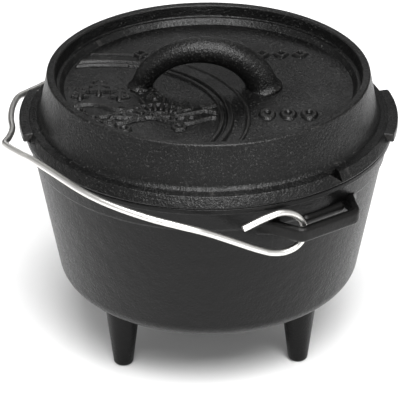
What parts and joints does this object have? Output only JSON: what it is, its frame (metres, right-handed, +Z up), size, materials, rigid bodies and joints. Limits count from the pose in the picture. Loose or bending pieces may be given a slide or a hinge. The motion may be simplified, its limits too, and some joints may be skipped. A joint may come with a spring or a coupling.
{
  "type": "dutch oven",
  "caption": "Small three-legged cast iron dutch oven with a lipped lid that holds embers, a loop lid handle and a wire bail hooked into cast ears, for cooking over coals.",
  "frame": {"origin": "centre of the pot's flat underside; the three feet reach 40.9 mm below it", "axes": "+Z up out of the pot's mouth, +X out through the right ear, -Y over the front leg, the side that the bail is lowered to"},
  "size_m": [0.1984, 0.1937, 0.1669],
  "materials": {
    "pot_iron": "sand cast, seasoned satin black",
    "lid_iron": "sand cast, seasoned satin black",
    "bail_steel": "drawn stainless wire, bright"
  },
  "bodies": {
    "pot": {"pot_body": "pot_iron", "ear_right": "pot_iron", "ear_left": "pot_iron", "leg_front": "pot_iron", "leg_rear_right": "pot_iron", "leg_rear_left": "pot_iron"},
    "lid": {"lid_body": "lid_iron", "lid_handle": "lid_iron", "lid_grip_right": "lid_iron", "lid_grip_left": "lid_iron"},
    "bail": {"bail": "bail_steel"}
  },
  "joints": [
    {"name": "lid_lift", "type": "slide", "parent": "pot", "child": "lid", "axis": [0, 0, 1], "range_m": [0, 0.08]},
    {"name": "bail_swing", "type": "hinge", "parent": "pot", "child": "bail", "pos_m": [0, 0, 0.06675], "axis": [-0.9782, 0.2078, 0], "range_deg": [0, 115]}
  ]
}
